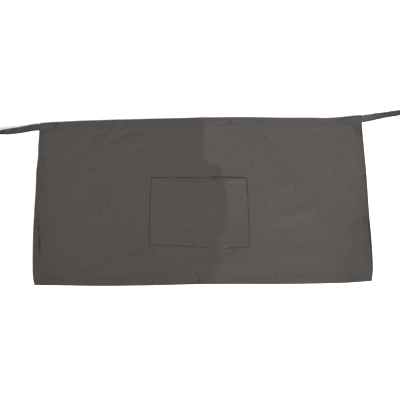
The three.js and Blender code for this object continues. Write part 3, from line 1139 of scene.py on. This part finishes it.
def tie_frame(tie, at, width):
    """A tie's middle line, its direction across the strip and the one out of it. at runs in millimetres from
    the waistband's end, less than 0 inside it."""
    from_fold = band_wall + tie_fold_room + tie_width / 2
    free = tie.reach - tie_flat

    def in_band(from_end):
        u = from_end / waist_width
        return skirt_outline(u if tie.side < 0 else 1 - u, 1 - from_fold / drop)

    def middle_line(at):
        share = (at - tie_flat) / free
        swing = 1j * table_at(tie.lie, "across", clamp01(share))
        swung = in_band(-tie_flat) + free * (tie.side * share + swing)
        risen = 1j * tie.rise * smooth((at + 4) / 8) * clamp01(1 - share)
        return np.where(at < tie_flat, in_band(-at), swung) + risen

    tilt = np.radians(table_at(tie.lie, "tilt", clamp01((at - tie_flat) / free)))
    down = smooth((at - tie_flat) / tie_descent)
    forward = middle_line(at + 1) - middle_line(at - 1)
    flat = 1j * forward / np.abs(forward) * tie.side
    on_edge = (width * np.abs(np.sin(tilt)) + tie_wall * np.cos(tilt)) / 2
    middle = points_of(middle_line(at), on_edge + tie_seat * (1 - down))
    return middle, points_of(flat * np.cos(tilt), np.sin(tilt)), points_of(-flat * np.sin(tilt), np.cos(tilt))


def tie_points(tie, at, across, offset):
    """Points of a tie. across runs from -1 at its lower edge to 1 at its upper one, and offset is how far
    in front of the strip's middle they lie. The free end is folded under, which raises the front there."""
    width = tie_width + tie.slack * smooth(at / 8) * smooth((60 - at) / 30)
    middle, wide, thick = tie_frame(tie, at, width)
    from_end = tie.reach - at
    selvedge = 0.1 * bell((1 - np.abs(across)) / 0.12)
    wave = 0.28 * np.sin(at / 6.3 + across * 1.9 + tie.side) + 0.12 * np.sin(at / 2.9 - across * 2.6)
    cup = -0.5 * (1 - across**2)
    drawn = sum(groove(from_end - seam) for seam in tie_seams)
    folded = tie_fold_step * smooth((tie_hem - from_end) / 1.5) - drawn
    free = smooth((at - 2) / 14)
    lift = offset * (1 + selvedge / (tie_wall / 2)) + (wave + cup) * free + folded * (offset > 0)
    return middle + wide * (across * width / 2)[..., None] + thick * lift[..., None]


def make_tie(name, tie, material):
    at = odd(np.concatenate([
        -tie_tuck + np.array([0, 0.15, 0.5]),
        lines(-tie_tuck + 2, -2, 4),
        lines(0, tie.reach - tie_hem - 1, 1.2),
        tie.reach - tie_hem + np.array([-0.3, 0.3, 0.8, 1.2, 1.6, 2, 2.6, 4, 5.2]),
        tie.reach + np.array([-2.8, -2.4, -2, -1.2, -0.5, -0.15, 0]),
    ]))
    half = tie_width / 2
    edge = np.array([0, 0.12, 0.35, 0.75, 1.3, 2.1, 3.4, 5.2])
    across = np.concatenate([edge - half, [0], half - edge[::-1]]) / half
    along, over = np.meshgrid(at if tie.side > 0 else at[::-1], across)
    front, back = [tie_points(tie, along, over, offset) for offset in (tie_wall / 2, -tie_wall / 2)]
    from_edge = np.minimum((1 - np.abs(over)) * half, np.minimum(along + tie_tuck, tie.reach - along))
    grain = np.stack([along * tie.side, over * half, 0 * over], axis=-1)
    lower, upper = (1 + over) * half, (1 - over) * half
    # Painted shade along the tie's edges and with its twist, and painted light and shade along its length
    twist = np.sin(along / 4.1 + lower / 2.6) + 0.8 * np.sin(along / 7.3 - lower / 3.1 + 1)
    tone = 1 - tie.lower * bell(lower / 2.4) - tie.upper * bell(upper / 2)
    tone = tone * (1 + tie.twist * twist * smooth((along - 20) / 20)) * level(tie.light, "tone", along)
    return sheet_mesh(name, front, back, rim(from_edge, tie_wall / 2), material, grain, tone)


def pocket_surfaces(u, v):
    """The pocket's place in the plan, its front and back surfaces and its painted shade."""
    place = pocket_plan(u, v)
    px, py = pixel_at(place)
    from_side, up = from_ends(u, mouth_width), v * pocket_depth
    from_mouth = pocket_depth - up
    sewn = np.minimum(from_side, up)
    worn = level(mouth_worn, "share", px)
    slack = pocket_slack * smooth((from_side - pocket_seam) / mouth_shoulder)
    slack = slack * smooth((up - pocket_seam) / pocket_belly)
    slack = slack * (1 - (lip_drop + lip_flat * worn) * np.exp(-from_mouth / 12))
    turned = 1 - smooth((sewn - seam_allowance) / 6)
    hemmed = 1 - smooth((from_mouth - mouth_hem) / 4.5)
    layers = 0.4 * np.maximum(turned, hemmed) * (1 - worn * bell(from_mouth / 5))
    fine, shade = wrinkles_at(pocket_wrinkles, place)
    open_cloth = smooth((sewn - 1) / 5)
    along = np.where(from_side < up, up, u * mouth_width)
    waves = 0.13 * pucker(along + 300 * (u > 0.5), sewn - pocket_stitch, 5.3, 6)
    waves += 0.1 * pucker(u * mouth_width, from_mouth - mouth_seam, 6.1, 5)
    seam = np.maximum(groove(sewn - pocket_stitch) * (sewn < 5), groove(from_mouth - mouth_seam))
    seat = relief_at(place) + cloth_wall + under_step + lap
    detail = (fine + dents_at(place, 150, 9, 0.14)) * open_cloth + waves * 0.8
    detail = detail * smooth(from_mouth / 3 + 0.4)
    back = seat + np.maximum(0, slack + detail * smooth(slack / 0.8))
    front = seat + np.maximum(slack + detail, -0.2) + cloth_wall + layers - seam
    # Painted shadow along the pocket's outline, where less than 0 is painted light
    mouth_painted_shadow = level(mouth_rim, "dark", px) * bell(from_mouth / 1.5)
    base_painted_shadow = level(base_rim, "dark", px) * bell(up / 1.5)
    left_side_painted_shadow = level(side_rim, "left", py) * bell(from_side / 1.3)
    right_side_painted_shadow = level(side_rim, "right", py) * bell(from_side / 2.2)
    dark = np.maximum(np.maximum(mouth_painted_shadow, base_painted_shadow), np.where(u < 0.5, left_side_painted_shadow, right_side_painted_shadow))
    # Painted shade of the pocket's wrinkles, its stitch grooves and the shadow along its outline
    tone = np.maximum(tone_at(place) * (1 - shade * open_cloth - 0.12 * seam) * (1 - dark), 0.05)
    return place, np.maximum(front, back + 0.5), back, tone


def make_pocket(material):
    edge = [0, 0.12, 0.35, 0.75, 1.2, 1.75, 2.2, 2.65, 3.3, 4.4, 6, 7.6, 9, 10.4]
    mouth = [0, 0.12, 0.35, 0.75, 1.6, 3.4, 5.4, 7.4, 9, 10, 10.5, 11, 12, 13.2, 14.6]
    inner = lines(edge[-1], mouth_width - edge[-1], pocket_spacing)
    across = odd(np.concatenate([edge[:-1], inner, mouth_width - np.array(edge[-2::-1])]))
    inner = lines(edge[-1], pocket_depth - mouth[-1], pocket_spacing)
    up = odd(np.concatenate([edge[:-1], inner, pocket_depth - np.array(mouth[-2::-1])]))
    grid, size = (across / mouth_width, up / pocket_depth), (mouth_width, pocket_depth)
    return make_laid("pocket_cloth", pocket_surfaces, grid, size, mouth_width, 1, 0.7, material)


upwards = np.array([0, 0, 1.0])


def tie_stitches(name, tie, material):
    """Two rows across the hem at a tie's free end."""
    across = np.linspace(-0.86, 0.86, 30) * tie.side
    runs = []
    for from_end in tie_seams:
        at = np.full_like(across, tie.reach - from_end)
        _, _, normal = tie_frame(tie, at, tie_width)
        runs.append(stitch_run(tie_points(tie, at, across, tie_wall / 2), normal, 2.3, 1.8))
    return stitches(name, runs, material)


def stitch_run(path, normal, pitch=stitch_pitch, length=stitch_length):
    """The starts, ends and normals of stitches along a line of points."""
    travelled = np.concatenate([[0], np.cumsum(np.linalg.norm(np.diff(path, axis=0), axis=1))])
    starts = np.arange(0.5, travelled[-1] - length, pitch)
    normals = np.broadcast_to(normal, path.shape)

    def at(distance, values):
        return np.stack([np.interp(distance, travelled, values[:, k]) for k in range(3)], axis=1)

    return at(starts, path), at(starts + length, path), at(starts + length / 2, normals)


def tack_run(centre, direction, normal, long=7.0, wide=1.7, turns=15):
    """A bar-tack: stitches laid side by side across a short line."""
    direction = np.asarray(direction, float) / np.linalg.norm(direction)
    side = np.cross(normal, direction)
    along = np.linspace(-long / 2, long / 2, turns)[:, None] * direction
    slant = direction * long / turns / 2
    starts = centre + along - side * wide / 2 - slant
    return starts, centre + along + side * wide / 2 + slant, np.broadcast_to(normal, starts.shape)


def stitches(name, runs, material, radius=thread_radius):
    """Stitches as one joined mesh: each is a thread that rises out of the cloth and dips back into it."""
    starts, ends, normals = [np.concatenate(parts) for parts in zip(*runs)]
    direction = ends - starts
    direction /= np.linalg.norm(direction, axis=1)[:, None]
    side = np.cross(normals, direction)
    side /= np.linalg.norm(side, axis=1)[:, None]
    sides = 6
    rings = []
    for at, around, lift in zip(*thread_rings.values()):
        centre = starts + (ends - starts) * at + normals * lift * radius
        for angle in np.arange(sides) * 2 * np.pi / sides:
            rings.append(centre + radius * around * (side * np.cos(angle) + normals * np.sin(angle)))
    size = len(rings)
    ring, step = np.meshgrid(np.arange(0, size - sides, sides), np.arange(sides), indexing="ij")
    first, second = ring + step, ring + (step + 1) % sides
    quads = np.stack([first, second, second + sides, first + sides], axis=-1).reshape(-1, 4)
    end = size - sides
    caps = [[3, 2, 1, 0], [5, 4, 3, 0], [end, end + 1, end + 2, end + 3], [end, end + 3, end + 4, end + 5]]
    template = np.concatenate([quads, caps])
    faces = (np.arange(len(starts))[:, None, None] * size + template).reshape(-1, 4)
    return mesh_of(name, np.stack(rings, axis=1).reshape(-1, 3), faces.tolist(), material)


def skirt_stitches(material):
    rise = np.linspace(bottom_seam / drop, band_foot + 2 / drop, 200)
    run = np.linspace(side_seam, waist_width - side_seam, 400) / waist_width
    runs = []
    for side, normal in enumerate((upwards, -upwards)):
        surface = face_of(skirt_surfaces, side)
        for u in (run[0], run[-1]):
            runs.append(stitch_run(surface(np.full_like(rise, u), rise), normal))
        runs.append(stitch_run(surface(run, np.full_like(run, rise[0])), normal))
    return stitches("skirt_stitching", runs, material)


def band_stitches(material):
    u = np.linspace(0.004, 0.996, 400)
    foot = band_stitch / band_strip
    runs = []
    for share, normal in ((foot, upwards), (1 - foot, -upwards)):
        runs.append(stitch_run(band_points(u, np.full_like(u, share), band_wall / 2)[0], normal))
    shares = np.linspace(2.5, 15.5, 40) / band_strip
    for u in (end_stitch / waist_width, 1 - end_stitch / waist_width):
        across_end = band_points(np.full_like(shares, u), shares, band_wall / 2)[0]
        runs.append(stitch_run(across_end, upwards, 1.3, 1.1))
    return stitches("waistband_stitching", runs, material)


def pocket_stitches(material):
    surface = face_of(pocket_surfaces, 0)
    side, base = pocket_stitch / mouth_width, pocket_stitch / pocket_depth
    mouth = 1 - mouth_seam / pocket_depth
    rise, run = np.linspace(base, 1, 160), np.linspace(side, 1 - side, 200)
    runs = [stitch_run(surface(np.full_like(rise, u), rise), upwards) for u in (side, 1 - side)]
    runs += [stitch_run(surface(run, np.full_like(run, v)), upwards) for v in (base, mouth)]
    for u in (side, 1 - side):
        centre = surface(np.array([u]), np.array([1 - tack_drop / pocket_depth]))[0]
        runs.append(tack_run(centre, (0, 1, 0), upwards))
    return stitches("pocket_stitching", runs, material)


class Nodes:
    """A material's node tree, with short calls to add and link nodes."""

    def __init__(self, name):
        self.material = bpy.data.materials.new(name)
        self.material.use_nodes = True
        self.tree = self.material.node_tree
        self.shader = self.tree.nodes["Principled BSDF"]

    def add(self, kind, settings=None, **inputs):
        node = self.tree.nodes.new("ShaderNode" + kind)
        for key, value in (settings or {}).items():
            setattr(node, key, value)
        for key, value in inputs.items():
            self.set(node, key.replace("_", " "), value)
        return node

    def set(self, node, key, value):
        socket = node.inputs[int(key) if key.isdigit() else key]
        if isinstance(value, bpy.types.NodeSocket):
            self.tree.links.new(value, socket)
        else:
            socket.default_value = value

    def math(self, operation, *values):
        node = self.add("Math", {"operation": operation})
        for k, value in enumerate(values):
            self.set(node, str(k), value)
        return node.outputs[0]

    def noise(self, coordinates, scale, detail=3.0, roughness=0.5):
        node = self.add("TexNoise", Scale=scale, Detail=detail, Roughness=roughness)
        self.set(node, "Vector", coordinates)
        return node.outputs["Fac"]

    def product(self, first, *others):
        for other in others:
            first = self.math("MULTIPLY", first, other)
        return first

    def ramp(self, value, low, high, to_low, to_high):
        ends = {"From_Min": low, "From_Max": high, "To_Min": to_low, "To_Max": to_high}
        return self.add("MapRange", {"clamp": True}, Value=value, **ends).outputs["Result"]

    def tint(self, color, shade):
        """A colour made lighter or darker."""
        node = self.add("VectorMath", {"operation": "SCALE"}, Scale=shade)
        node.inputs[0].default_value = color
        return node.outputs[0]

    def finish(self, color, bump, **values):
        """Link the shader's colour and normal, and link or set its other sockets."""
        self.set(self.shader, "Base Color", color)
        self.set(self.shader, "Normal", bump.outputs[0])
        for key, value in values.items():
            self.set(self.shader, key.replace("_", " "), value)
        return self.material

    def wave(self, value, pitch):
        """A sine from 0 to 1 with that pitch."""
        turned = self.math("MULTIPLY", value, 2 * math.pi / pitch)
        return self.math("MULTIPLY_ADD", self.math("SINE", turned), 0.5, 0.5)


def cloth_material(name, color, yarn, rib, wale_angle=1.0, roughness=0.86, sheen=0.08, mottle=0.07):
    """Woven cloth: yarns, the twill's diagonal wales, slubs, mottled dye and a soft sheen. yarn is the pitch
    of the yarns in millimetres, and rib how far the wales stand out."""
    nodes = Nodes(name)
    grain = nodes.add("Attribute", {"attribute_name": "grain"}).outputs["Vector"]
    # tone carries the painted shade and light of each vertex
    tone = nodes.add("Attribute", {"attribute_name": "tone"}).outputs["Fac"]
    place = nodes.add("TexCoord").outputs["Object"]
    split = nodes.add("SeparateXYZ", Vector=grain)
    along, across = split.outputs["X"], split.outputs["Y"]
    stray = nodes.math("MULTIPLY", nodes.math("SUBTRACT", nodes.noise(place, 260.0), 0.5), 0.5)
    diagonal = nodes.math("ADD", nodes.math("MULTIPLY_ADD", across, wale_angle, along), stray)
    wales = nodes.wave(diagonal, yarn * 3)
    warp = nodes.wave(along, yarn)
    weft = nodes.wave(across, yarn)
    weave = nodes.math("ADD", nodes.math("MULTIPLY", wales, 0.55), nodes.math("MULTIPLY", warp, 0.25))
    weave = nodes.math("MULTIPLY_ADD", weft, 0.2, weave)
    slub_place = nodes.add("VectorMath", {"operation": "MULTIPLY"})
    nodes.set(slub_place, "0", grain)
    slub_place.inputs[1].default_value = (0.05, 1.3, 1.0)
    slubs = nodes.noise(slub_place.outputs[0], 1.0, 2.0)
    cloudy = nodes.noise(place, 9.0, 4.0, 0.55)
    blotchy = nodes.noise(place, 55.0, 3.0)
    fuzz = nodes.noise(place, 1900.0, 2.0)
    shade = nodes.product(
        nodes.ramp(cloudy, 0.3, 0.7, 1 - mottle, 1 + mottle),
        nodes.ramp(blotchy, 0.3, 0.7, 1 - mottle / 2, 1 + mottle / 2),
        nodes.ramp(weave, 0.1, 0.9, 0.86, 1.14),
        nodes.ramp(slubs, 0.3, 0.75, 0.96, 1.05),
        nodes.ramp(fuzz, 0.35, 0.65, 0.96, 1.04),
        tone,
    )
    relief = nodes.math("MULTIPLY_ADD", slubs, 0.4, nodes.math("MULTIPLY_ADD", fuzz, 0.35, weave))
    bump = nodes.add("Bump", Strength=0.5, Distance=rib * MM, Height=relief)
    rough = nodes.ramp(cloudy, 0.3, 0.7, roughness - 0.05, roughness + 0.05)
    nodes.shader.inputs["Specular IOR Level"].default_value = 0.25
    nodes.shader.inputs["Sheen Weight"].default_value = sheen
    nodes.shader.inputs["Sheen Roughness"].default_value = 0.55
    nodes.shader.inputs["Sheen Tint"].default_value = (0.8, 0.78, 0.76, 1)
    return nodes.finish(nodes.tint(color, shade), bump, Roughness=rough)


def thread_material(name, color):
    """Twisted sewing thread."""
    nodes = Nodes(name)
    place = nodes.add("TexCoord").outputs["Object"]
    split = nodes.add("SeparateXYZ", Vector=place)
    diagonal = nodes.math("ADD", split.outputs["X"], split.outputs["Y"])
    twist = nodes.wave(nodes.math("MULTIPLY_ADD", split.outputs["Z"], 2.0, diagonal), 0.35 * MM)
    worn = nodes.noise(place, 120.0)
    shade = nodes.product(nodes.ramp(twist, 0.0, 1.0, 0.75, 1.15), nodes.ramp(worn, 0.3, 0.7, 0.85, 1.1))
    bump = nodes.add("Bump", Strength=0.6, Distance=0.05 * MM, Height=twist)
    nodes.shader.inputs["Sheen Weight"].default_value = 0.2
    return nodes.finish(nodes.tint(color, shade), bump, Roughness=0.62)


def floor_material():
    nodes = Nodes("pale_floor")
    place = nodes.add("TexCoord").outputs["Object"]
    shade = nodes.ramp(nodes.noise(place, 3.0), 0.3, 0.7, 0.94, 0.96)
    color = nodes.add("CombineColor", Red=shade, Green=shade, Blue=shade)
    nodes.set(nodes.shader, "Base Color", color.outputs[0])
    nodes.shader.inputs["Roughness"].default_value = 0.9
    nodes.shader.inputs["Specular IOR Level"].default_value = 0.1
    return nodes.material


def make_stage():
    """A pale floor, soft studio light and the camera straight above, as in the photograph."""
    mesh = bpy.data.meshes.new("floor")
    half = 9.0
    corners = [(-half, -half, 0), (half, -half, 0), (half, half, 0), (-half, half, 0)]
    mesh.from_pydata(corners, [], [(0, 1, 2, 3)])
    mesh.materials.append(floor_material())
    floor = bpy.data.objects.new("floor", mesh)
    floor.location.z = -0.3 * MM
    bpy.context.scene.collection.objects.link(floor)

    world = bpy.data.worlds.new("studio")
    world.use_nodes = True
    background = world.node_tree.nodes["Background"]
    background.inputs["Color"].default_value = (1.0, 0.995, 0.985, 1)
    background.inputs["Strength"].default_value = 1.1
    bpy.context.scene.world = world

    lamp = bpy.data.lights.new("key", "AREA")
    lamp.shape, lamp.size, lamp.energy = "SQUARE", 2.4, 580.0
    key = bpy.data.objects.new("key", lamp)
    azimuth, elevation, distance = math.radians(-60), math.radians(44), 6.0
    key.location = (
        distance * math.cos(elevation) * math.cos(azimuth),
        distance * math.cos(elevation) * math.sin(azimuth),
        distance * math.sin(elevation),
    )
    key.rotation_euler = (-key.location).to_track_quat("-Z", "Y").to_euler()
    bpy.context.scene.collection.objects.link(key)

    lens = bpy.data.cameras.new("camera")
    lens.sensor_width, lens.lens = 36.0, 120.0
    camera = bpy.data.objects.new("camera", lens)
    over = plan_at(photo_size / 2, photo_size / 2) * MM
    frame_width = photo_size * photo_mm * MM
    camera.location = (over.real, over.imag, frame_width * lens.lens / lens.sensor_width)
    bpy.context.scene.collection.objects.link(camera)
    bpy.context.scene.camera = camera
    bpy.context.scene.view_settings.view_transform = "Standard"


make_stage()

cloth = cloth_material("charcoal_twill", (0.0424, 0.0373, 0.0337), 0.36, 0.09)
band_cloth = cloth_material("charcoal_twill_band", (0.0412, 0.0364, 0.0350), 0.36, 0.09)
tape = cloth_material("charcoal_tape", (0.0400, 0.0378, 0.0387), 0.5, 0.14, wale_angle=-1.6)
thread = thread_material("charcoal_thread", (0.031, 0.027, 0.0245))

skirt = make_skirt(cloth)
waistband = make_band(band_cloth)
pocket = make_pocket(cloth)
left_tape = make_tie("tie_left_tape", left_tie, tape)
right_tape = make_tie("tie_right_tape", right_tie, tape)

for piece, stitching, node, slot, flat, held, under in (
    (skirt, skirt_stitches(thread), "skirt", "skirt_cloth", (0.794, 0.393), "laid", "floor"),
    (waistband, band_stitches(thread), "waistband", "band_cloth", (0.734, 0.046), "folded", "skirt_cloth"),
    (pocket, pocket_stitches(thread), "pocket", "pocket_cloth", (0.240, 0.176), "laid", "skirt_cloth"),
    (left_tape, tie_stitches("tie_left_stitching", left_tie, thread), "tie_left", "tie_cloth",
     (0.015, 0.144), "laid", "floor"),
    (right_tape, tie_stitches("tie_right_stitching", right_tie, thread), "tie_right", "tie_cloth",
     (0.015, 0.150), "laid", "floor"),
):
    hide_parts(node)
